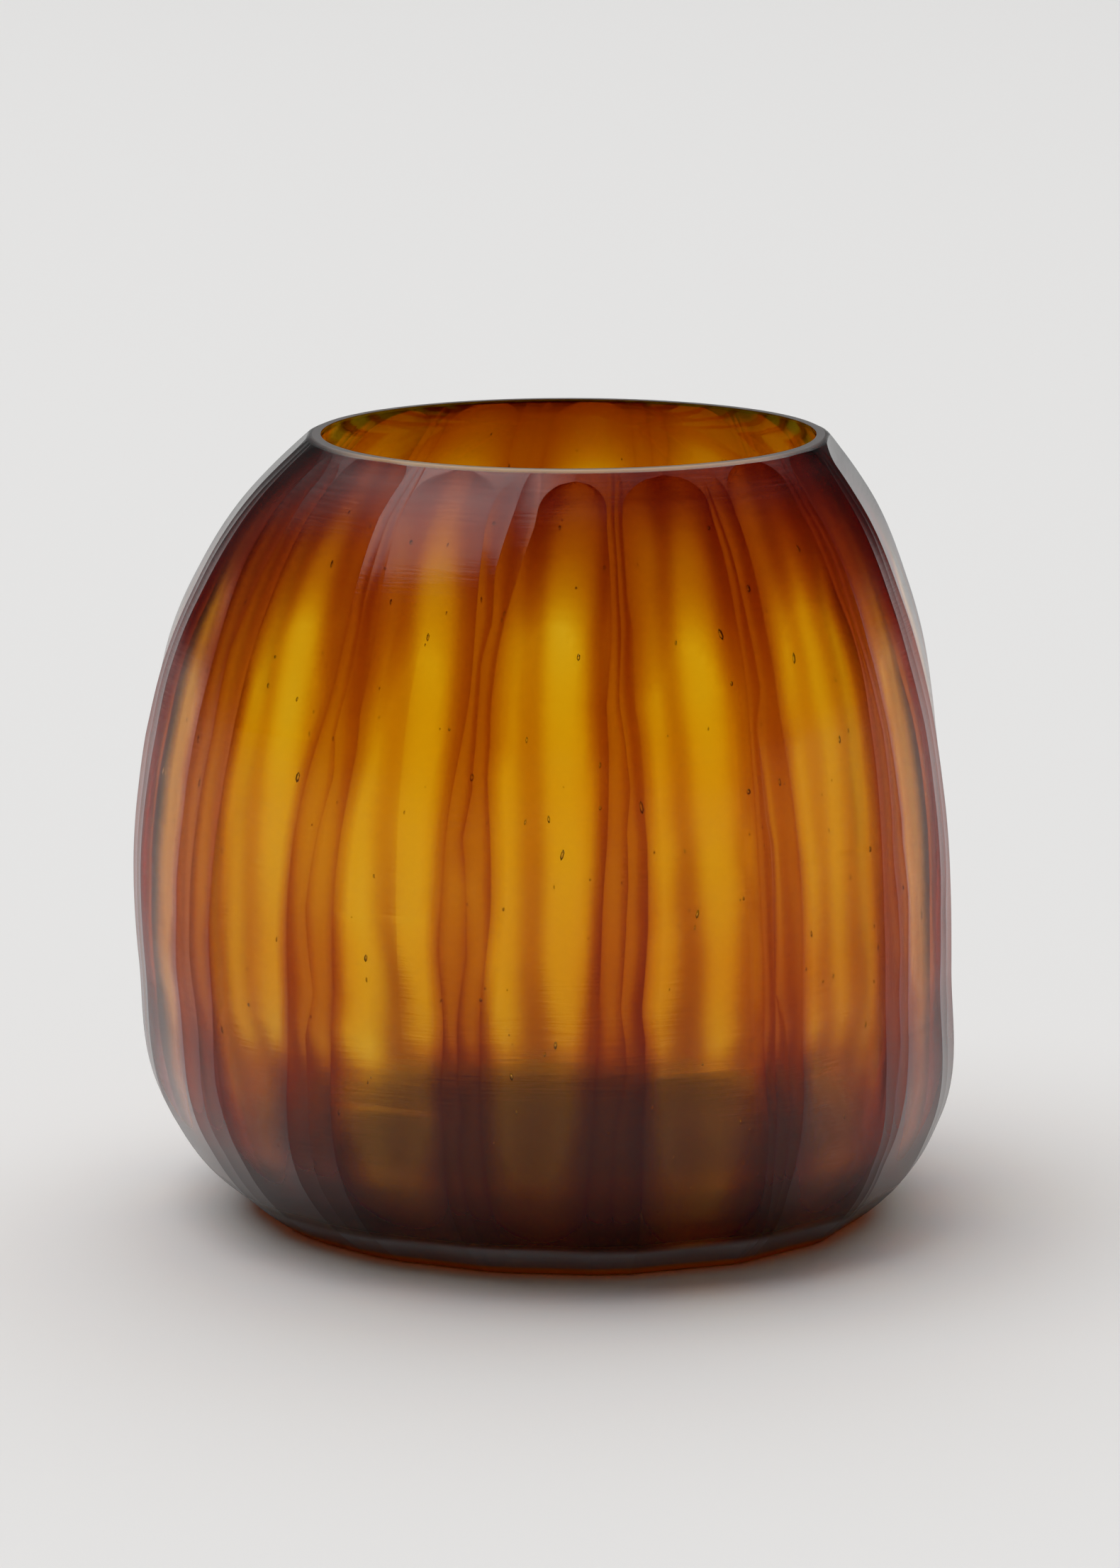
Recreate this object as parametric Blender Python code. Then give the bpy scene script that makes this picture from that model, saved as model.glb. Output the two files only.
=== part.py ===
"""Hand blown cut-glass vase: an amber inner vessel cased in a thin brown overlay.

Metres, +Z up, -Y is the front. The origin is on the ground base, under the middle of the belly.
Both layers are one blown and cut form, so three shapes make everything here:
  - the cut form: the outside, with sixteen wide flutes and two narrow facets on each land between them
  - the interface: the round surface where the overlay meets the amber
  - the cavity: the inside of the vase
The flutes are cut deeper than the overlay is thick, so each one opens a window down to the amber.
The overlay that is left is a cage: a collar under the rim, sixteen lands, and a cup round the foot.
"""

import math

import bmesh
import bpy

# Driving dimensions
HEIGHT = 0.266
BASE_OVERLAY = 0.0022  # overlay under the base
LAYER_GAP = 0.0003  # between the two solids, which are fused in the real vase
FLOOR_TOP = 0.0095  # height of the floor inside the vase
CUTTER_MARGIN = 0.010  # how far a cutter runs past the solid that it cuts

# (height, radius) down the crests of the outside, from the base to the rim
OUTER_PROFILE = (
    (0.000, 0.1045),
    (0.011, 0.1180),
    (0.035, 0.1340),
    (0.088, 0.1405),
    (0.146, 0.1385),
    (0.213, 0.1235),
    (0.245, 0.1065),
    (HEIGHT, 0.0880),
)
# (height, thickness) of the overlay on a land, thinnest where the glass was blown widest
OVERLAY_THICKNESS = (
    (0.000, 0.0022),
    (0.030, 0.0012),
    (0.080, 0.0008),
    (0.180, 0.0008),
    (0.225, 0.0013),
    (HEIGHT, 0.0020),
)
# (height, radius) of the inside, from the edge of the floor to the rim
CAVITY_PROFILE = (
    (FLOOR_TOP, 0.0940),
    (0.0108, 0.1030),
    (0.014, 0.1100),
    (0.020, 0.1178),
    (0.030, 0.1252),
    (0.045, 0.1308),
    (0.065, 0.1341),
    (0.092, 0.1350),
    (0.146, 0.1330),
    (0.213, 0.1184),
    (0.245, 0.1018),
    (HEIGHT, 0.0835),
)

# Cutting pattern
FLUTES = 16
FLUTE_ANGLE = math.radians(17.0)  # between a flute's two edges
FRONT = math.radians(-90.0)  # direction of the first flute's middle

# Hand-made unevenness: the axis bows sideways, and the foot is very slightly three-lobed
AXIS_BOW = 0.009
AXIS_WAVE = 0.001
BELLY_X = -0.0014  # centres the widest outline over the origin
FOOT_LOBES = 3
FOOT_LOBE_HEIGHT = 0.0017
FOOT_LOBE_DIRECTION = math.radians(-45.0)

# Mesh fineness
ROUND_STEPS = 64
HEEL_LEVELS = (0.000, 0.003, 0.007, 0.012, 0.018, 0.026, 0.036, 0.050)
BODY_LEVELS = (0.070, 0.092, 0.115, 0.140, 0.165, 0.188, 0.208, 0.225, 0.240, 0.253, HEIGHT)
CAVITY_LEVELS = (FLOOR_TOP, 0.0100, 0.0108, 0.0122, 0.014, 0.0165, 0.020, 0.0245, 0.030, 0.037)
SMOOTH_ANGLE = math.radians(12.0)


def clear_scene():
    for obj in list(bpy.data.objects):
        bpy.data.objects.remove(obj, do_unlink=True)


def glass_material(name, colour, roughness):
    material = bpy.data.materials.new(name)
    material.use_nodes = True
    shader = material.node_tree.nodes["Principled BSDF"]
    shader.inputs["Base Color"].default_value = (*colour, 1.0)
    shader.inputs["Metallic"].default_value = 0.0
    shader.inputs["Roughness"].default_value = roughness
    shader.inputs["IOR"].default_value = 1.52
    shader.inputs["Transmission Weight"].default_value = 1.0
    return material


def smooth_curve(points, x):
    """A smooth curve through the points, as a cubic Hermite spline, held level past its two ends."""
    xs = [point[0] for point in points]
    ys = [point[1] for point in points]
    x = min(max(x, xs[0]), xs[-1])
    widths = [b - a for a, b in zip(xs, xs[1:])]
    slopes = [(b - a) / width for a, b, width in zip(ys, ys[1:], widths)]
    tangents = [0.0] * len(points)
    for i in range(1, len(points) - 1):
        before, after = widths[i - 1], widths[i]
        tangents[i] = (slopes[i - 1] * after + slopes[i] * before) / (before + after)
    tangents[0] = 2.0 * slopes[0] - tangents[1]
    tangents[-1] = 2.0 * slopes[-1] - tangents[-2]
    i = max(k for k in range(len(widths)) if xs[k] <= x)
    t = (x - xs[i]) / widths[i]
    start = (2.0 * t**3 - 3.0 * t**2 + 1.0) * ys[i] + (t**3 - 2.0 * t**2 + t) * widths[i] * tangents[i]
    end = (3.0 * t**2 - 2.0 * t**3) * ys[i + 1] + (t**3 - t**2) * widths[i] * tangents[i + 1]
    return start + end


def axis_x(z):
    """The middle of the form at this height: the belly bulges to the left of the rim and the foot."""
    t = min(max(z / HEIGHT, 0.0), 1.0)
    return BELLY_X + AXIS_BOW * (2.0 * t - 1.0) ** 2 + AXIS_WAVE * math.sin(2.0 * math.pi * t)


def lobe(z, angle):
    t = min(max(z / HEIGHT, 0.0), 1.0)
    return FOOT_LOBE_HEIGHT * (1.0 - t) ** 3 * math.cos(FOOT_LOBES * (angle - FOOT_LOBE_DIRECTION))


def ring(z, level, radius, angles):
    """Points round the axis at height z, for the form's section at the height called level."""
    points = []
    for angle in angles:
        r = radius + lobe(level, angle)
        points.append((axis_x(level) + r * math.cos(angle), r * math.sin(angle), z))
    return points


def crest_angles():
    """The edges of every facet: a wide flute, then two narrow facets on the land."""
    pitch = 2.0 * math.pi / FLUTES
    middle_of_land = pitch / 2.0
    offsets = (-FLUTE_ANGLE / 2.0, FLUTE_ANGLE / 2.0, middle_of_land)
    return [FRONT + k * pitch + offset for k in range(FLUTES) for offset in offsets]


def round_angles():
    return [FRONT + 2.0 * math.pi * k / ROUND_STEPS for k in range(ROUND_STEPS)]


def loft(name, rings, material):
    """A closed solid through rings of equally many points, listed from the bottom to the top."""
    mesh = bmesh.new()
    loops = [[mesh.verts.new(point) for point in points] for points in rings]
    count = len(loops[0])
    for lower, upper in zip(loops, loops[1:]):
        for i in range(count):
            j = (i + 1) % count
            mesh.faces.new((lower[i], lower[j], upper[j], upper[i]))
    mesh.faces.new(loops[0][::-1])
    mesh.faces.new(loops[-1])
    data = bpy.data.meshes.new(name)
    mesh.to_mesh(data)
    mesh.free()
    data.shade_smooth()
    data.set_sharp_from_angle(angle=SMOOTH_ANGLE)
    obj = bpy.data.objects.new(name, data)
    bpy.context.scene.collection.objects.link(obj)
    if material:
        data.materials.append(material)
    return obj


def make_cutter(obj):
    obj.hide_render = True
    obj.display_type = "WIRE"


def cut(obj, cutter, operation):
    modifier = obj.modifiers.new(f"{operation.lower()}_{cutter.name}", "BOOLEAN")
    modifier.object = cutter
    modifier.operation = operation
    modifier.solver = "EXACT"


def cut_form(name, past_ends, material=None):
    """The outside of the vase with its flutes and facets, run past both ends by past_ends."""
    levels = [*HEEL_LEVELS, *BODY_LEVELS]
    heights = [(z, z) for z in levels]
    if past_ends:
        heights = [(levels[0] - past_ends, levels[0]), *heights, (levels[-1] + past_ends, levels[-1])]
    angles = crest_angles()
    rings = [ring(z, level, smooth_curve(OUTER_PROFILE, level), angles) for z, level in heights]
    return loft(name, rings, material)


def interface_radius(z):
    return smooth_curve(OUTER_PROFILE, z) - smooth_curve(OVERLAY_THICKNESS, z)


def interface_form(name, bottom, inset, past_rim, material=None):
    """The round body inside the overlay, from the height called bottom up, inset by a gap."""
    levels = [bottom, *[z for z in (*HEEL_LEVELS, *BODY_LEVELS) if z > bottom + LAYER_GAP]]
    heights = [(z, z) for z in levels]
    if past_rim:
        heights.append((levels[-1] + past_rim, levels[-1]))
    angles = round_angles()
    rings = [ring(z, level, interface_radius(level) - inset, angles) for z, level in heights]
    return loft(name, rings, material)


def cavity_form(name, past_rim):
    levels = [*CAVITY_LEVELS, *[z for z in (*HEEL_LEVELS, *BODY_LEVELS) if z > CAVITY_LEVELS[-1]]]
    heights = [(z, z) for z in levels]
    heights.append((levels[-1] + past_rim, levels[-1]))
    angles = round_angles()
    rings = [ring(z, level, smooth_curve(CAVITY_PROFILE, level), angles) for z, level in heights]
    return loft(name, rings, None)


def build_overlay():
    """The brown casing: the cut form, hollowed to the interface, which also opens the windows."""
    brown = glass_material("brown_glass", (0.30, 0.075, 0.006), 0.22)
    overlay = cut_form("brown_overlay_shell", 0.0, brown)
    core = interface_form("overlay_core_cutter", BASE_OVERLAY, 0.0, CUTTER_MARGIN)
    make_cutter(core)
    cut(overlay, core, "DIFFERENCE")


def build_inner_vessel():
    """The amber vessel: the round body, trimmed by the flutes in the windows, and hollowed."""
    amber = glass_material("amber_glass", (0.90, 0.50, 0.04), 0.12)
    vessel = interface_form("amber_inner_vessel", BASE_OVERLAY + LAYER_GAP, LAYER_GAP, 0.0, amber)
    trim = cut_form("flute_trim_cutter", CUTTER_MARGIN)
    cavity = cavity_form("cavity_cutter", CUTTER_MARGIN)
    for cutter in (trim, cavity):
        make_cutter(cutter)
    cut(vessel, trim, "INTERSECT")
    cut(vessel, cavity, "DIFFERENCE")


clear_scene()
build_overlay()
build_inner_vessel()
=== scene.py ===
"""The finished glass of the cased and cut vase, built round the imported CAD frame.

Both layers of glass are fused in the real vase, so one closed body stands for both CAD nodes.
It carries, in mesh detail: wide flutes, two or three narrow facets on every land between them,
the rounded tops where the wheel ran out under the rim, the ground rim and base, the hollow, and
small bubbles that are real voids inside the wall. The overlay's brown is worked out from how
much of it the cutting has left, so it fades softly from each land into each flute.

Metres, +Z up, -Y is the front. Angles are degrees round the axis from the front, + to the right.
"""

import math
import random

import bmesh
import bpy
import numpy as np
from mathutils import Matrix, Vector


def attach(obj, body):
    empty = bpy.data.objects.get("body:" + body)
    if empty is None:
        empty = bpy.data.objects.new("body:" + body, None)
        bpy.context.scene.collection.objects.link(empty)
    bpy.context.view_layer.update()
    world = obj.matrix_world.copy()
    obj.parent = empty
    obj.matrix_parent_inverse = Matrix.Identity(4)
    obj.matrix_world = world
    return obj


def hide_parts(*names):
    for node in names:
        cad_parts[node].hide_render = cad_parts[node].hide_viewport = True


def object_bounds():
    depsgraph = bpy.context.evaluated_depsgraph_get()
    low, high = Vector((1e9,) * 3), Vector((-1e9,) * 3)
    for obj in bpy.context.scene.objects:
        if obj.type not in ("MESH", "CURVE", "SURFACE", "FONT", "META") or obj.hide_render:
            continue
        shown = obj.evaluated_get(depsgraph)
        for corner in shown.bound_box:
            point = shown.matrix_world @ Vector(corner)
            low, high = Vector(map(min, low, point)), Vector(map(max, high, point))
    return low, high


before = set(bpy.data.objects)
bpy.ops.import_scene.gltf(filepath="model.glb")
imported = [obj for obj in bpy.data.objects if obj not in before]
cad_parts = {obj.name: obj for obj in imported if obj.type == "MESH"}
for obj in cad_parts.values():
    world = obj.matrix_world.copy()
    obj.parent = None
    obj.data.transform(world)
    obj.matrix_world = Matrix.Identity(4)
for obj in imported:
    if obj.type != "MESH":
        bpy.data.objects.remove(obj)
cad_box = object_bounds()
HEIGHT = cad_box[1][2]

# ---------------------------------------------------------------- form, the same as the CAD's
# A profile is a list of (height, value), with a smooth curve through it.
FLOOR_TOP = 0.0095
OUTER_PROFILE = (  # radius of the crests
    (0.000, 0.1045),
    (0.011, 0.1180),
    (0.035, 0.1340),
    (0.088, 0.1405),
    (0.146, 0.1385),
    (0.213, 0.1235),
    (0.245, 0.1065),
    (HEIGHT, 0.0880),
)
CAVITY_PROFILE = (  # radius of the hollow
    (FLOOR_TOP, 0.0940),
    (0.0108, 0.1030),
    (0.014, 0.1100),
    (0.020, 0.1178),
    (0.030, 0.1252),
    (0.045, 0.1308),
    (0.065, 0.1341),
    (0.092, 0.1350),
    (0.146, 0.1330),
    (0.213, 0.1184),
    (0.245, 0.1018),
    (HEIGHT, 0.0835),
)
AXIS_BOW = 0.009
AXIS_WAVE = 0.001
BELLY_X = -0.0014
FOOT_LOBES = 3
FOOT_LOBE_HEIGHT = 0.0017
FOOT_LOBE_DIRECTION = 45.0

# ---------------------------------------------------------------- overlay and finish, by height
OVERLAY_THICKNESS = (  # of the brown layer before cutting, coloured deeper than the CAD's is thick
    (0.000, 0.0036),
    (0.020, 0.0026),
    (0.045, 0.0017),
    (0.080, 0.0012),
    (0.185, 0.0011),
    (0.208, 0.0013),
    (0.228, 0.0016),
    (0.248, 0.0019),
    (HEIGHT, 0.0028),
)
CUT_SHARE = (  # share of a cut's depth that came out of the overlay
    (0.000, 1.0),
    (0.200, 1.0),
    (0.222, 0.80),
    (0.248, 0.30),
    (HEIGHT, 0.20),
)
FOOT_BLOOM = (  # weight of the dull coat that the cutting left round the foot
    (0.000, 1.0),
    (0.035, 1.0),
    (0.060, 0.7),
    (0.100, 0.05),
    (HEIGHT, 0.0),
)

# ---------------------------------------------------------------- cutting pattern
FLUTES = 16
PITCH = 360.0 / FLUTES
PATTERN_TURN = 0.9  # the first flute's middle, from the front
LAND_HEIGHTS = (0.030, 0.090, 0.150, 0.200, 0.250)
# land number: its middle and its width at LAND_HEIGHTS, for the lands in front
FRONT_LANDS = {
    -4: ((-79.5, -78.5, -77.0, -76.0, -78.5), (6.5, 7.0, 6.5, 6.0, 7.5)),
    -3: ((-57.0, -56.5, -54.5, -54.0, -58.5), (9.0, 8.6, 9.4, 9.8, 11.5)),
    -2: ((-36.7, -33.3, -31.8, -29.5, -33.1), (7.5, 7.0, 7.5, 5.5, 3.8)),
    -1: ((-13.0, -11.4, -9.6, -9.3, -9.3), (6.1, 5.3, 6.3, 3.0, 8.5)),
    0: ((7.6, 9.9, 11.5, 11.2, 9.8), (7.5, 5.9, 6.1, 3.8, 3.3)),
    1: ((32.6, 33.0, 33.8, 32.8, 31.2), (3.8, 6.1, 5.9, 5.5, 4.9)),
    2: ((53.0, 55.5, 56.6, 55.5, 51.5), (4.2, 5.8, 5.6, 3.7, 4.5)),
    3: ((73.2, 73.8, 77.0, 72.2, 70.0), (6.8, 7.4, 6.8, 5.5, 5.0)),
}
# the other lands, in degrees
LAND_DRIFT = 1.6  # how far one wanders
LAND_WIDTH = 6.2
LAND_WIDTH_RANGE = (0.65, 1.4)  # of LAND_WIDTH
LAND_TURN = 1.0  # how far each is turned back from its even place
LAND_FOOT_TURN = 1.5  # and how much more at the foot
BACK_TURN = 6.5  # and how much more right behind
# every land
EDGE_WAVER = 0.15  # degrees
FACETS = (2, 2, 3)  # narrow facets on a land
FACET_WANDER = 0.13  # of the land's width
FACET_TOPS = (-0.0060, 0.0020)  # lowest and highest end of a facet, from the rim up
FLUTE_TOPS = (-0.0035, 0.0030)  # the same for a flute; what is above the rim was ground off
CREST_WAVER = 0.00010
CREST_DROP = 0.00026  # how far below the round form a ridge can lie
KINKS = 0.38  # degrees that a ridge jogs sideways where two passes of the wheel meet
PASS_STEP = 0.00005  # a flute's change of depth where two passes meet
TIP_HEIGHTS = (0.05, 0.22)  # where the middle one of three facets can end in a tip
TIP_LENGTH = 0.022  # height over which a facet narrows to its tip
JOG_SPACING = (0.008, 0.034)  # least and greatest height between two jogs
FLUTE_WAVER = 0.00016
FLUTE_HOLLOW = 0.00020  # a wheel leaves every cut slightly hollow
FACET_HOLLOW = 0.00009
RIDGE_PAINTED_SHADE = 0.00015  # painted shade: extra overlay brown along the ridge between two cuts, a dark line for the shade that a ridge shows
PASS_LINE = 0.00010  # the faint ridge where two passes of the wheel meet in a flute
PASS_LINE_STEPS = (5, 6, 7, 9, 10, 11)  # the steps across a flute that it can run along
PASS_LINE_MIDDLES = (0.05, 0.20)
PASS_LINE_REACHES = (0.02, 0.06)  # half of its length
STEP_HEIGHTS = (0.05, 0.235)
STEPS_IN_FLUTE = 2
STEP_RISE = 0.0004
RUN_OUT = 0.0085  # height over which a cut's rounded top closes

# ---------------------------------------------------------------- glass
AMBER_ABSORPTION = (23.0, 110.0, 520.0)  # per metre
BROWN_ABSORPTION = (530.0, 1220.0, 2900.0)  # per metre of overlay
BASE_TINT = (0.030, 0.016, 0.010)  # the thick overlay under the foot
SLANT_PATH = 3.4  # how much more overlay light crosses at a grazing angle
SLANT_POWER = 4.0
OVERLAY_UNEVENNESS = 0.12
GLASS_IOR = 1.5
SATIN = 0.20  # roughness that the cutting left
GROUND = 0.42  # roughness of the ground rim, heel and base
CUT_ROUGHNESS = ((0.0, 0.27), (0.050, 0.25), (0.110, SATIN))  # (height, roughness) of the cut glass
BLOOM_ROUGHNESS = 0.45
HEEL_DULLNESS = 0.68  # share of the light that the ground heel scatters
# a finish is roughness, strength of the satin's lines, clearness, bloom
POLISHED_FINISH = (0.03, 0.0, 1.0, 0.0)
GROUND_FINISH = (GROUND, 0.0, 0.68, 0.0)
SATIN_LINES = (60.0, 60.0, 900.0)  # per metre, along X, Y and Z
SATIN_STRENGTH = 0.10
SATIN_DEPTH = 0.0005
WHITE = (1.0, 1.0, 1.0)  # glass with no overlay on it
RIM_TINT = (0.62, 0.61, 0.61)
HEEL_TOP = 0.0105  # height up to which the heel was ground with the base
HEEL_TINT = (0.42, 0.44, 0.46)
HEEL_WAVER = 0.0010
HEEL_FADE = 0.0025
EDGE_TINT = (0.60, 0.20, 0.05)  # the thin edge of the base, where light leaves the amber floor
EDGE_TOP = 0.0022
OUTER_BEVEL = 0.0012  # of the rim
INNER_BEVEL = 0.0004
INNER_WAVER = 0.00022
INNER_EVEN_ZONE = 0.02  # below the rim, where the hollow's wavering fades out
FLOOR_DIP = 0.0006

# ---------------------------------------------------------------- bubbles
BUBBLES = 520
BUBBLE_SIZE = 0.00031  # the median radius
BUBBLE_SPREAD = 0.40  # of the logarithm of the radius
BUBBLE_LARGEST = 0.0009
BUBBLE_STRETCH = (1.0, 3.2)
BUBBLE_FLATNESS = 0.7
BUBBLE_LEAN = 14.0
BUBBLE_LOWEST = 0.016
BUBBLE_BELOW_RIM = 0.012
DEEPEST_CUT = 0.0026  # no bubble lies nearer to the blown form's outside

# ---------------------------------------------------------------- studio
HORIZON_LIGHT = 0.86
SKY_LIGHT = 0.20
OVERHEAD_LIGHT = 1.95
OVERHEAD = (0.0, 0.50, 0.87)  # direction of the brightest part of the studio
OVERHEAD_EDGE = (0.60, 0.95)  # cosines of the angle from there, where it ends and where it is full
OVERHEAD_LOWEST = (0.30, 0.60)  # upward part of the direction, in the same way
HORIZON_EDGE = (-0.01, 0.17)  # upward part of the direction, where the horizon's band fades out
STUDIO_COLOUR = (1.0, 0.998, 0.995)
LAMP_TILT = (-0.42, -0.08, 0.90)
LAMP_DISTANCE = 20.0
LAMP_SIZE = 16.2
LAMP_POWER = 1380.0
FLOOR_COLOUR = (0.80, 0.795, 0.79)
FLOOR_ROUGHNESS = 0.9
FLOOR_SHEEN = 0.2  # specular level
FLOOR_RADIUS = 40.0
FLOOR_CLEARANCE = 0.0006  # keeps the floor clear of the base
CAMERA_PLACE = (0.0047, -1.995, 0.5475)
CAMERA_DIP = 11.42  # degrees below level
CAMERA_FIELD = 15.04  # degrees, from the top of the frame to the bottom
SENSOR_HEIGHT = 36.0  # mm

# ---------------------------------------------------------------- mesh fineness
FLUTE_STEPS = 14
FLUTE_EDGE_STEP = 0.012
FACET_STEPS = 3
FACET_EDGE_STEP = 0.05
GAP_STEPS = 2
HEEL_ROWS = (0.0, 0.036, 22)  # from, to, how many
BODY_ROWS = (0.036, 0.240, 58)
TOP_ROWS = (0.240, HEIGHT - 0.8 * OUTER_BEVEL, 24)  # ends where the rim's bevel begins
INNER_ROWS = (HEIGHT - INNER_BEVEL, 0.060, 22)
INNER_HEEL_ROWS = (0.060, 0.016, 14)
INNER_BOTTOM_ROWS = (0.016, FLOOR_TOP, 7)
FLOOR_RINGS = (0.9, 0.7, 0.45, 0.2)  # of the floor's radius
BASE_RINGS = (0.985, 0.9, 0.7, 0.45, 0.2)


def smooth_curve(points, x):
    """A smooth curve through the points, as a cubic Hermite spline, held level past its ends."""
    xs = np.array([point[0] for point in points])
    ys = np.array([point[1] for point in points])
    widths = np.diff(xs)
    slopes = np.diff(ys) / widths
    tangents = np.empty_like(ys)
    before, after = widths[:-1], widths[1:]
    tangents[1:-1] = (slopes[:-1] * after + slopes[1:] * before) / (before + after)
    tangents[0] = 2.0 * slopes[0] - tangents[1]
    tangents[-1] = 2.0 * slopes[-1] - tangents[-2]
    x = np.clip(np.asarray(x, float), xs[0], xs[-1])
    i = np.clip(np.searchsorted(xs, x, side="right") - 1, 0, len(widths) - 1)
    t = (x - xs[i]) / widths[i]
    start = (2.0 * t**3 - 3.0 * t**2 + 1.0) * ys[i] + (t**3 - 2.0 * t**2 + t) * widths[i] * tangents[i]
    end = (3.0 * t**2 - 2.0 * t**3) * ys[i + 1] + (t**3 - t**2) * widths[i] * tangents[i + 1]
    return start + end


class Wander:
    """Smooth seeded unevenness in height and angle, between about -1 and 1, closed round the axis."""

    def __init__(self, seed, heights=(0.02, 0.09), turns=(0, 6), waves=9):
        draw = random.Random(seed)
        self.waves = []
        for _ in range(waves):
            rate = 2.0 * math.pi / draw.uniform(*heights)
            turn = draw.randint(*turns) * draw.choice((-1, 1))
            self.waves.append((rate, turn, draw.uniform(0.0, 2.0 * math.pi)))

    def __call__(self, z, angle=0.0):
        total = 0.0
        for rate, turn, phase in self.waves:
            total = total + np.sin(rate * z + turn * np.radians(angle) + phase)
        return total * math.sqrt(2.0 / len(self.waves)) / 1.6


LAYER_NOISE = Wander(12, heights=(0.08, 0.30), turns=(1, 9), waves=12)
INNER_NOISE = Wander(13, heights=(0.05, 0.20), turns=(1, 9), waves=12)
HEEL_NOISE = Wander(14, turns=(2, 11))


class Jogs:
    """Seeded unevenness in height with sudden changes of direction, between -1 and 1."""

    def __init__(self, seed):
        draw = random.Random(seed)
        self.heights = [0.0]
        while self.heights[-1] < HEIGHT:
            self.heights.append(self.heights[-1] + draw.uniform(*JOG_SPACING))
        self.values = [draw.uniform(-1.0, 1.0) for _ in self.heights]

    def __call__(self, z):
        return np.interp(z, self.heights, self.values)


def axis_x(z):
    """The middle of the form at this height: the belly bulges to the left of the rim and the foot."""
    t = np.clip(z / HEIGHT, 0.0, 1.0)
    return BELLY_X + AXIS_BOW * (2.0 * t - 1.0) ** 2 + AXIS_WAVE * np.sin(2.0 * math.pi * t)


def lobe(z, angle):
    """How far a lobe of the foot stands out."""
    t = np.clip(z / HEIGHT, 0.0, 1.0)
    turn = np.radians(FOOT_LOBES * (angle - FOOT_LOBE_DIRECTION))
    return FOOT_LOBE_HEIGHT * (1.0 - t) ** 3 * np.cos(turn)


def place(angle, radius, z):
    """Points of the form at these angles, radii and heights, as an array of (x, y, z)."""
    turn = np.radians(angle)
    x = axis_x(z) + radius * np.sin(turn)
    y = -radius * np.cos(turn)
    return np.stack(np.broadcast_arrays(x, y, z), axis=-1)


def land_edges(number, z):
    """(left, right) edge of a land at these heights."""
    draw = random.Random(400 + number)
    nominal = PATTERN_TURN + (number + 0.5) * PITCH
    if number in FRONT_LANDS:
        middles, widths = FRONT_LANDS[number]
    else:
        behind = max(0.0, -math.cos(math.radians(nominal)))
        mean = nominal - LAND_TURN - BACK_TURN * behind
        middles = [mean + draw.uniform(-1.0, 1.0) * LAND_DRIFT for _ in LAND_HEIGHTS]
        middles[0] -= LAND_FOOT_TURN
        widths = [LAND_WIDTH * draw.uniform(*LAND_WIDTH_RANGE) for _ in LAND_HEIGHTS]
    middle = smooth_curve(list(zip(LAND_HEIGHTS, middles)), z)
    width = smooth_curve(list(zip(LAND_HEIGHTS, widths)), z)
    left = middle - 0.5 * width + EDGE_WAVER * Wander(500 + number, heights=(0.04, 0.12))(z)
    right = middle + 0.5 * width + EDGE_WAVER * Wander(600 + number, heights=(0.04, 0.12))(z)
    left = left + KINKS * Jogs(520 + number)(z)
    right = right + KINKS * Jogs(620 + number)(z)
    return left, right


def all_cuts(z):
    """Every cut round the vase in order: its left and right edge at heights z, its top, its steps.

    The last item is the flute's number, or None for a facet.
    """
    cuts = []
    half = FLUTES // 2
    edges = {number: land_edges(number, z) for number in range(-half, half)}
    for number in range(-half, half):
        draw = random.Random(700 + number)
        left, right = edges[number]
        if number + 1 < half:
            next_left = edges[number + 1][0]
        else:
            next_left = edges[-half][0] + 360.0
        fractions = [0.0]
        facets = draw.choice(FACETS)
        for k in range(1, facets):
            wander = FACET_WANDER * Jogs(800 + 10 * number + k)(z)
            fractions.append(k / facets + wander)
        fractions.append(1.0)
        if facets == 3:
            tip = draw.uniform(*TIP_HEIGHTS)
            side = draw.choice((-1.0, 1.0))
            open_share = np.sqrt(np.clip(side * (z - tip) / TIP_LENGTH, 0.0, 1.0))
            fractions[2] = fractions[1] + (fractions[2] - fractions[1]) * open_share
        creases = [left + (right - left) * fraction for fraction in fractions]
        for lower, upper in zip(creases, creases[1:]):
            top = HEIGHT + draw.uniform(*FACET_TOPS)
            cuts.append((lower, upper, top, cut_steps(FACET_STEPS, FACET_EDGE_STEP), None))
        top = HEIGHT + draw.uniform(*FLUTE_TOPS)
        cuts.append((right, next_left, top, cut_steps(FLUTE_STEPS, FLUTE_EDGE_STEP), number))
    return cuts


def outer_rows():
    """Heights of the outside's rows, with one at the top and the bottom of every step in a flute."""
    heel = np.linspace(*HEEL_ROWS, endpoint=False)
    body = np.linspace(*BODY_ROWS, endpoint=False)
    top = np.linspace(*TOP_ROWS)
    edges = []
    for flute in range(-FLUTES // 2, FLUTES // 2):
        for height, _ in pass_steps(flute):
            edges += [height, height + STEP_RISE]
    return np.unique(np.concatenate([heel, body, top, edges]))


def round_radius(z, angle):
    """The blown form before cutting."""
    return smooth_curve(OUTER_PROFILE, z) + lobe(z, angle)


def overlay_left(radius, z, angle):
    """Thickness of the brown overlay where the cut surface lies at this radius."""
    blown = smooth_curve(OVERLAY_THICKNESS, z) * (1.0 + OVERLAY_UNEVENNESS * LAYER_NOISE(z, angle))
    cut = round_radius(z, angle) - radius
    return np.maximum(0.0, blown - cut * smooth_curve(CUT_SHARE, z))


def cut_steps(count, edge):
    """Shares across a cut: one close to each edge, the others evenly spaced."""
    return [0.0, edge, *[step / count for step in range(1, count)], 1.0 - edge]


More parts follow.
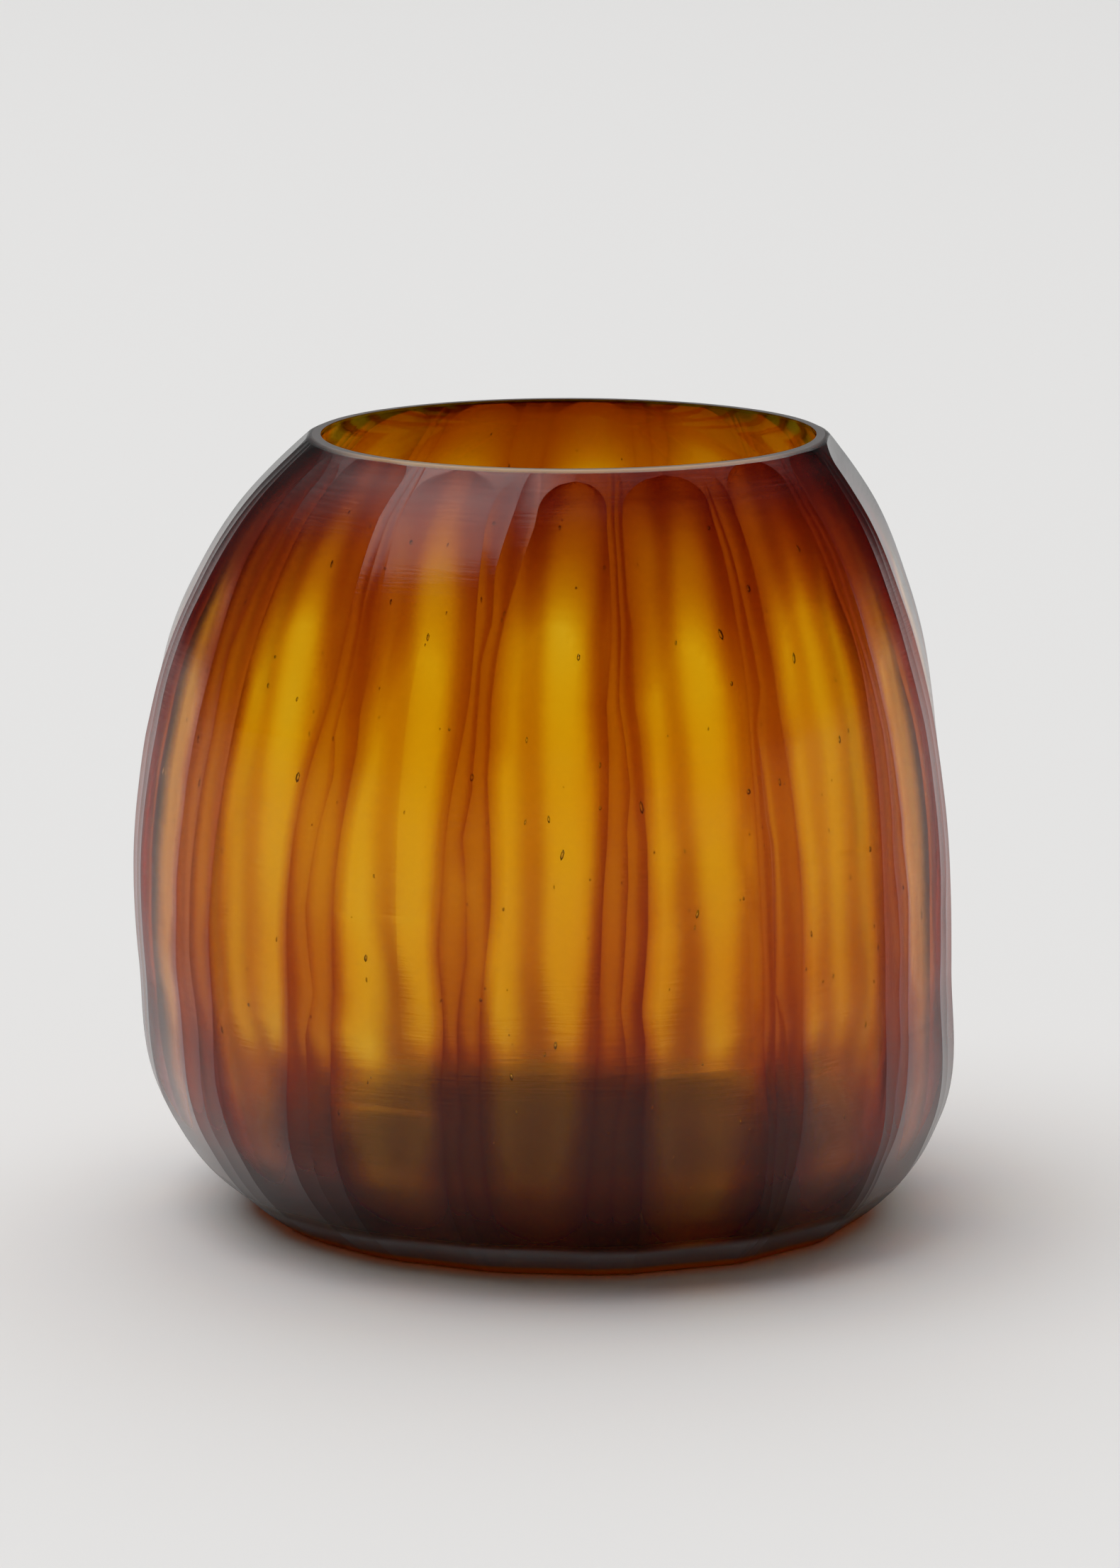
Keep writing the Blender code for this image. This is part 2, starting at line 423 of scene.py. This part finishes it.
def outer_grid():
    """Points, angles and ridge flags of the cut outside: one row per height, one column per step."""
    z = outer_rows()
    points, angles, ridges = [], [], []
    spans = []
    draw = random.Random(1500)
    for number, (left, right, top, steps, flute) in enumerate(all_cuts(z)):
        middle = 0.5 * (left + right)
        half = 0.5 * (right - left)
        t = np.clip((top - z) / RUN_OUT, 0.0, 1.0)
        closing = np.sqrt(t * (2.0 - t))
        waver = CREST_WAVER * Jogs(2000 + number)(z) - CREST_DROP * draw.random()
        spans.append((middle - half * closing, middle + half * closing, steps, flute, closing, waver))
    for k, (left, right, steps, flute, closing, waver) in enumerate(spans):
        after_left, _, _, _, after_closing, after_waver = spans[(k + 1) % len(spans)]
        start = place(left, round_radius(z, left) + waver * closing, z)
        end = place(right, round_radius(z, right) + after_waver * closing, z)
        turn = np.radians(0.5 * (left + right))
        outward = np.stack([np.sin(turn), -np.cos(turn), np.zeros_like(turn)], axis=-1)
        for u in steps:
            point = (1.0 - u) * start + u * end
            bow = 4.0 * u * (1.0 - u)
            if flute is None:
                offset = -FACET_HOLLOW * bow * closing
            else:
                offset = (FLUTE_WAVER * Wander(900 + flute)(z) - FLUTE_HOLLOW) * bow * closing
                offset = offset + pass_line(flute, u, z) * closing
                for step_height, depth in pass_steps(flute):
                    risen = np.clip((z - step_height) / STEP_RISE, 0.0, 1.0)
                    offset = offset - depth * min(1.0, 4.0 * bow) * risen
            points.append(point + outward * offset[:, None])
            angles.append((1.0 - u) * left + u * right)
            ridges.append(u == 0.0)
        following = after_left + (360.0 if k + 1 == len(spans) else 0.0)
        for step in range(GAP_STEPS):
            u = step / GAP_STEPS
            angle = (1.0 - u) * right + u * following
            blend = (1.0 - u) * closing + u * after_closing
            points.append(place(angle, round_radius(z, angle) + after_waver * blend, z))
            angles.append(angle)
            ridges.append(step == 0)
    return z, np.stack(points, axis=1), np.stack(angles, axis=1), np.array(ridges)


def pass_steps(flute):
    """The (height, depth) of the small steps in a flute, one above the other."""
    draw = random.Random(1700 + flute)
    steps = []
    for _ in range(STEPS_IN_FLUTE):
        height = draw.uniform(*STEP_HEIGHTS)
        depth = draw.choice((-1.0, 1.0)) * draw.uniform(0.4, 1.0) * PASS_STEP
        steps.append((height, depth))
    return steps


def pass_line(flute, u, z):
    """A low ridge along part of some flutes."""
    draw = random.Random(1000 + flute)
    line_u = draw.choice(PASS_LINE_STEPS) / FLUTE_STEPS
    middle = draw.uniform(*PASS_LINE_MIDDLES)
    reach = draw.uniform(*PASS_LINE_REACHES)
    along = np.clip(1.0 - np.abs(z - middle) / reach, 0.0, 1.0)
    across = max(0.0, 1.0 - abs(u - line_u) * 3.0)
    return PASS_LINE * across * np.minimum(1.0, 3.0 * along)


class Builder:
    """Collects points and faces of one closed mesh, with a tint and a finish at every point."""

    def __init__(self):
        self.points, self.tints, self.finishes = [], [], []
        self.faces, self.sharp = [], []
        self.count = 0

    def add(self, points, tints, finish):
        """Adds points and returns their numbers."""
        points = np.asarray(points, float).reshape(-1, 3)
        self.points.append(points)
        self.tints.append(np.broadcast_to(tints, points.shape))
        self.finishes.append(np.broadcast_to(finish, (len(points), len(finish))))
        numbers = np.arange(self.count, self.count + len(points))
        self.count += len(points)
        return numbers

    def strip(self, lower, upper):
        """Faces between two closed rings of equally many numbers, leaving out corners that coincide."""
        for a, b, c, d in zip(lower, np.roll(lower, -1), np.roll(upper, -1), upper):
            corners = [int(a)]
            for corner in (int(b), int(c), int(d)):
                if corner != corners[-1] and corner != corners[0]:
                    corners.append(corner)
            if len(corners) > 2:
                self.faces.append(corners)

    def fan(self, ring, centre):
        for a, b in zip(ring, np.roll(ring, -1)):
            if a != b:
                self.faces.append([int(a), int(b), int(centre)])


def brown_tint(thickness):
    """How overlay of this thickness colours light that crosses the surface."""
    return np.exp(-2.0 * np.asarray(thickness)[..., None] * np.array(BROWN_ABSORPTION))


def heel_share(z, angle):
    """1 on the ground heel, 0 above it, with an edge that isn't quite level."""
    edge = HEEL_TOP + HEEL_WAVER * HEEL_NOISE(0.0, angle)
    return np.clip((edge + HEEL_FADE - z) / HEEL_FADE, 0.0, 1.0)


def outside_finish(z):
    """Satin from cutting, except the heel, which was ground like the base."""
    ground = float(heel_share(z, 0.0))
    satin = float(np.interp(z, *zip(*CUT_ROUGHNESS)))
    roughness = satin + (GROUND - satin) * ground
    return roughness, 1.0, 1.0 - HEEL_DULLNESS * ground, float(smooth_curve(FOOT_BLOOM, z))


def separate(numbers):
    """Flags of the corners that differ from the one before, and each corner's place among those."""
    keep = np.concatenate([[True], np.diff(numbers) != 0])
    return keep, np.cumsum(keep) - 1


def build_outside(builder):
    """Adds the cut outside. Returns the numbers of its rows and the angles of its columns."""
    z, points, angles, ridges = outer_grid()
    heights = np.broadcast_to(z[:, None], angles.shape)
    radius = np.hypot(points[..., 0] - axis_x(heights), points[..., 1])
    # every ridge gets a painted dark line of shade, added as extra overlay brown
    tints = brown_tint(overlay_left(radius, heights, angles) + RIDGE_PAINTED_SHADE * ridges)
    heel = heel_share(heights, angles)[..., None]
    tints = tints * (1.0 - heel) + np.array(HEEL_TINT) * heel
    tints = np.where((heights < EDGE_TOP)[..., None], np.array(EDGE_TINT), tints)
    same = np.abs(np.diff(angles, axis=1)) < 1e-6
    rows = []
    for row in range(len(z)):
        keep = np.concatenate([[True], ~same[row]])
        numbers = builder.add(points[row][keep], tints[row][keep], outside_finish(z[row]))
        rows.append(numbers[np.cumsum(keep) - 1])
    for lower, upper in zip(rows, rows[1:]):
        builder.strip(lower, upper)
        for column in np.flatnonzero(ridges):
            builder.sharp.append((int(lower[column]), int(upper[column])))
    return rows, angles


def ring_edges(ring):
    return [(int(a), int(b)) for a, b in zip(ring, np.roll(ring, -1)) if a != b]


def build_rim_and_inside(builder, top_row, top_angles):
    """Adds the ground rim with its two bevels, the hollow and the floor inside."""
    outer = smooth_curve(OUTER_PROFILE, HEIGHT)
    inner = smooth_curve(CAVITY_PROFILE, HEIGHT)
    keep, spread = separate(top_row)
    angle = top_angles[keep]

    def ring(radius, z, tint, finish):
        return builder.add(place(angle, radius, z), tint, finish)[spread]

    last = top_row
    builder.sharp += ring_edges(last)
    for radius, tint in ((outer - OUTER_BEVEL, RIM_TINT), (inner + INNER_BEVEL, RIM_TINT)):
        numbers = ring(radius, HEIGHT, tint, GROUND_FINISH)
        builder.strip(last, numbers)
        builder.sharp += ring_edges(numbers)
        last = numbers
    upper = np.linspace(*INNER_ROWS)
    heel = np.linspace(*INNER_HEEL_ROWS)[1:]
    bottom = np.linspace(*INNER_BOTTOM_ROWS)[1:]
    for level in (*upper, *heel, *bottom):
        fade = min(1.0, (HEIGHT - INNER_BEVEL - level) / INNER_EVEN_ZONE)
        radius = smooth_curve(CAVITY_PROFILE, level) + INNER_WAVER * fade * INNER_NOISE(level, angle)
        numbers = ring(radius, level, WHITE, POLISHED_FINISH)
        builder.strip(last, numbers)
        last = numbers
    floor_radius = smooth_curve(CAVITY_PROFILE, FLOOR_TOP)
    for share in FLOOR_RINGS:
        level = FLOOR_TOP - FLOOR_DIP * (1.0 - share)
        numbers = ring(floor_radius * share, level, WHITE, POLISHED_FINISH)
        builder.strip(last, numbers)
        last = numbers
    centre_point = (axis_x(FLOOR_TOP), 0.0, FLOOR_TOP - FLOOR_DIP)
    builder.fan(last, builder.add([centre_point], WHITE, POLISHED_FINISH)[0])


def build_base(builder, bottom_row, bottom_points):
    """Adds the flat ground base, whose brown overlay was left thick."""
    keep, spread = separate(bottom_row)
    rim = bottom_points[keep]
    centre_point = np.array([float(axis_x(0.0)), 0.0, 0.0])
    builder.sharp += ring_edges(bottom_row)
    last = bottom_row
    for share in BASE_RINGS:
        points = centre_point + (rim - centre_point) * share
        numbers = builder.add(points, BASE_TINT, GROUND_FINISH)[spread]
        builder.strip(numbers, last)
        last = numbers
    builder.fan(last[::-1], builder.add([centre_point], BASE_TINT, GROUND_FINISH)[0])


def wall_slope(z):
    """How fast the outside's radius grows with height."""
    reach = 0.002
    above = float(smooth_curve(OUTER_PROFILE, z + reach))
    below = float(smooth_curve(OUTER_PROFILE, z - reach))
    return (above - below) / (2.0 * reach)


def build_bubbles(builder):
    """Adds small voids inside the wall and the floor, with their faces turned into the void."""
    ball = bmesh.new()
    bmesh.ops.create_icosphere(ball, subdivisions=1, radius=1.0)
    shape = np.array([vert.co[:] for vert in ball.verts])
    triangles = [[vert.index for vert in face.verts] for face in ball.faces]
    ball.free()
    draw = random.Random(21)
    for _ in range(BUBBLES):
        z = draw.uniform(BUBBLE_LOWEST, HEIGHT - BUBBLE_BELOW_RIM)
        angle = draw.uniform(-180.0, 180.0)
        inner = float(smooth_curve(CAVITY_PROFILE, z))
        outer = float(round_radius(z, angle)) - DEEPEST_CUT
        size = min(draw.lognormvariate(math.log(BUBBLE_SIZE), BUBBLE_SPREAD), BUBBLE_LARGEST)
        room = outer - inner - 2.4 * size
        if room <= 0.0:
            continue
        radius = inner + 1.2 * size + room * draw.random()
        stretch = draw.uniform(*BUBBLE_STRETCH)
        lean = math.radians(draw.uniform(-BUBBLE_LEAN, BUBBLE_LEAN))
        turn = Matrix.Rotation(math.radians(angle), 3, "Z") @ Matrix.Rotation(lean, 3, "Y")
        turn = turn @ Matrix.Rotation(math.atan(wall_slope(z)), 3, "X")
        scaled = shape * np.array([size, size * BUBBLE_FLATNESS, size * stretch])
        points = scaled @ np.array(turn).T + place(angle, radius, z)
        numbers = builder.add(points, WHITE, POLISHED_FINISH)
        for triangle in triangles:
            builder.faces.append([int(numbers[k]) for k in triangle[::-1]])


def mesh_from(builder, name):
    """An object of the collected points and faces, with its tints and finishes as attributes."""
    mesh = bpy.data.meshes.new(name)
    points = np.concatenate(builder.points)
    mesh.from_pydata(points.tolist(), [], builder.faces)
    mesh.shade_smooth()
    tint = mesh.attributes.new("glass_tint", "FLOAT_COLOR", "POINT")
    rgba = np.ones((len(points), 4), np.float32)
    rgba[:, :3] = np.concatenate(builder.tints)
    tint.data.foreach_set("color", rgba.ravel())
    finishes = np.concatenate(builder.finishes).astype(np.float32)
    for column, label in enumerate(("glass_roughness", "glass_satin", "glass_clearness", "glass_bloom")):
        layer = mesh.attributes.new(label, "FLOAT", "POINT")
        layer.data.foreach_set("value", np.ascontiguousarray(finishes[:, column]))
    wanted = {tuple(sorted(edge)) for edge in builder.sharp}
    flags = [tuple(sorted(edge.vertices)) in wanted for edge in mesh.edges]
    mesh.attributes.new("sharp_edge", "BOOLEAN", "EDGE").data.foreach_set("value", flags)
    mesh.validate()
    obj = bpy.data.objects.new(name, mesh)
    bpy.context.scene.collection.objects.link(obj)
    return obj


def glass_material():
    """Amber inside, with the overlay's colour and the finish read from the mesh's attributes."""
    material = bpy.data.materials.new("cased_cut_glass")
    material.use_nodes = True
    nodes, links = material.node_tree.nodes, material.node_tree.links
    shader = nodes["Principled BSDF"]
    shader.inputs["IOR"].default_value = GLASS_IOR
    shader.inputs["Transmission Weight"].default_value = 1.0

    tint = nodes.new("ShaderNodeAttribute")
    tint.attribute_name = "glass_tint"
    slant = nodes.new("ShaderNodeLayerWeight")
    steeper = nodes.new("ShaderNodeMath")
    steeper.operation = "POWER"
    steeper.inputs[1].default_value = SLANT_POWER
    longer = nodes.new("ShaderNodeMath")
    longer.operation = "MULTIPLY_ADD"
    longer.inputs[1].default_value = SLANT_PATH
    longer.inputs[2].default_value = 1.0
    slanted = nodes.new("ShaderNodeGamma")
    links.new(slant.outputs["Facing"], steeper.inputs[0])
    links.new(steeper.outputs["Value"], longer.inputs[0])
    links.new(tint.outputs["Color"], slanted.inputs["Color"])
    links.new(longer.outputs["Value"], slanted.inputs["Gamma"])
    links.new(slanted.outputs["Color"], shader.inputs["Base Color"])

    rough = nodes.new("ShaderNodeAttribute")
    rough.attribute_name = "glass_roughness"
    links.new(rough.outputs["Fac"], shader.inputs["Roughness"])

    satin = nodes.new("ShaderNodeAttribute")
    satin.attribute_name = "glass_satin"
    place_in = nodes.new("ShaderNodeTexCoord")
    stretch = nodes.new("ShaderNodeMapping")
    stretch.inputs["Scale"].default_value = SATIN_LINES
    lines = nodes.new("ShaderNodeTexNoise")
    lines.inputs["Scale"].default_value = 1.0
    lines.inputs["Detail"].default_value = 3.0
    height = nodes.new("ShaderNodeMath")
    height.operation = "MULTIPLY"
    bump = nodes.new("ShaderNodeBump")
    bump.inputs["Strength"].default_value = SATIN_STRENGTH
    bump.inputs["Distance"].default_value = SATIN_DEPTH
    links.new(place_in.outputs["Object"], stretch.inputs["Vector"])
    links.new(stretch.outputs["Vector"], lines.inputs["Vector"])
    links.new(lines.outputs["Fac"], height.inputs[0])
    links.new(satin.outputs["Fac"], height.inputs[1])
    links.new(height.outputs["Value"], bump.inputs["Height"])
    links.new(bump.outputs["Normal"], shader.inputs["Normal"])

    for label, socket in (("glass_clearness", "Transmission Weight"), ("glass_bloom", "Coat Weight")):
        amount = nodes.new("ShaderNodeAttribute")
        amount.attribute_name = label
        links.new(amount.outputs["Fac"], shader.inputs[socket])
    shader.inputs["Coat Roughness"].default_value = BLOOM_ROUGHNESS
    shader.inputs["Coat IOR"].default_value = GLASS_IOR

    density = max(AMBER_ABSORPTION) * 1.1
    colour = [1.0 - value / density for value in AMBER_ABSORPTION]
    inside = nodes.new("ShaderNodeVolumeAbsorption")
    inside.inputs["Color"].default_value = (*colour, 1.0)
    inside.inputs["Density"].default_value = density
    links.new(inside.outputs["Volume"], nodes["Material Output"].inputs["Volume"])
    return material


def build_glass():
    builder = Builder()
    rows, angles = build_outside(builder)
    bottom_points = builder.points[0][rows[0]]
    build_rim_and_inside(builder, rows[-1], angles[-1])
    build_base(builder, rows[0], bottom_points)
    build_bubbles(builder)
    obj = mesh_from(builder, "cased_cut_glass_body")
    obj.data.materials.append(glass_material())
    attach(obj, "root")
    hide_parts("amber_inner_vessel", "brown_overlay_shell")


def plain_material(name, colour, roughness, specular):
    material = bpy.data.materials.new(name)
    material.use_nodes = True
    shader = material.node_tree.nodes["Principled BSDF"]
    shader.inputs["Base Color"].default_value = (*colour, 1.0)
    shader.inputs["Roughness"].default_value = roughness
    shader.inputs["Specular IOR Level"].default_value = specular
    return material


def build_floor():
    mesh = bmesh.new()
    bmesh.ops.create_circle(mesh, cap_ends=True, segments=128, radius=FLOOR_RADIUS)
    data = bpy.data.meshes.new("studio_floor")
    mesh.to_mesh(data)
    mesh.free()
    floor = bpy.data.objects.new("studio_floor", data)
    floor.location.z = -FLOOR_CLEARANCE
    data.materials.append(plain_material("pale_floor", FLOOR_COLOUR, FLOOR_ROUGHNESS, FLOOR_SHEEN))
    bpy.context.scene.collection.objects.link(floor)


def smooth_range(nodes, values, results):
    """A node that goes smoothly between the two results while its Value goes between the two values."""
    node = nodes.new("ShaderNodeMapRange")
    node.interpolation_type = "SMOOTHSTEP"
    node.inputs["From Min"].default_value = values[0]
    node.inputs["From Max"].default_value = values[1]
    node.inputs["To Min"].default_value = results[0]
    node.inputs["To Max"].default_value = results[1]
    return node


def build_world():
    """A plain studio, brightest overhead and dim lower down, with a horizon as pale as the floor."""
    world = bpy.data.worlds.new("studio")
    bpy.context.scene.world = world
    world.use_nodes = True
    nodes, links = world.node_tree.nodes, world.node_tree.links
    nodes["Background"].inputs["Color"].default_value = (*STUDIO_COLOUR, 1.0)
    direction = nodes.new("ShaderNodeTexCoord")
    parts = nodes.new("ShaderNodeSeparateXYZ")
    towards = nodes.new("ShaderNodeVectorMath")
    towards.operation = "DOT_PRODUCT"
    towards.inputs[1].default_value = Vector(OVERHEAD).normalized()
    overhead = smooth_range(nodes, OVERHEAD_EDGE, (0.0, OVERHEAD_LIGHT - SKY_LIGHT))
    high = smooth_range(nodes, OVERHEAD_LOWEST, (0.0, 1.0))
    horizon = smooth_range(nodes, HORIZON_EDGE, (HORIZON_LIGHT, SKY_LIGHT))
    total = nodes.new("ShaderNodeMath")
    total.operation = "MULTIPLY_ADD"
    links.new(direction.outputs["Generated"], parts.inputs["Vector"])
    links.new(direction.outputs["Generated"], towards.inputs[0])
    links.new(towards.outputs["Value"], overhead.inputs["Value"])
    links.new(parts.outputs["Z"], high.inputs["Value"])
    links.new(parts.outputs["Z"], horizon.inputs["Value"])
    links.new(overhead.outputs["Result"], total.inputs[0])
    links.new(high.outputs["Result"], total.inputs[1])
    links.new(horizon.outputs["Result"], total.inputs[2])
    links.new(total.outputs["Value"], nodes["Background"].inputs["Strength"])


def build_lamp():
    """A soft lamp overhead, to the left. It is far away, so the floor is evenly lit."""
    data = bpy.data.lights.new("overhead", "AREA")
    data.shape = "DISK"
    data.size = LAMP_SIZE
    data.energy = LAMP_POWER
    lamp = bpy.data.objects.new("overhead", data)
    lamp.location = Vector(LAMP_TILT).normalized() * LAMP_DISTANCE
    lamp.rotation_euler = Vector(LAMP_TILT).to_track_quat("Z", "Y").to_euler()
    bpy.context.scene.collection.objects.link(lamp)


def build_camera():
    data = bpy.data.cameras.new("camera")
    data.sensor_fit = "VERTICAL"
    data.sensor_height = SENSOR_HEIGHT
    data.angle = math.radians(CAMERA_FIELD)
    camera = bpy.data.objects.new("camera", data)
    camera.location = CAMERA_PLACE
    camera.rotation_euler = (math.radians(90.0 - CAMERA_DIP), 0.0, 0.0)
    bpy.context.scene.collection.objects.link(camera)
    bpy.context.scene.camera = camera


build_camera()
build_glass()
build_floor()
build_world()
build_lamp()
bpy.context.scene.view_settings.view_transform = "Khronos PBR Neutral"
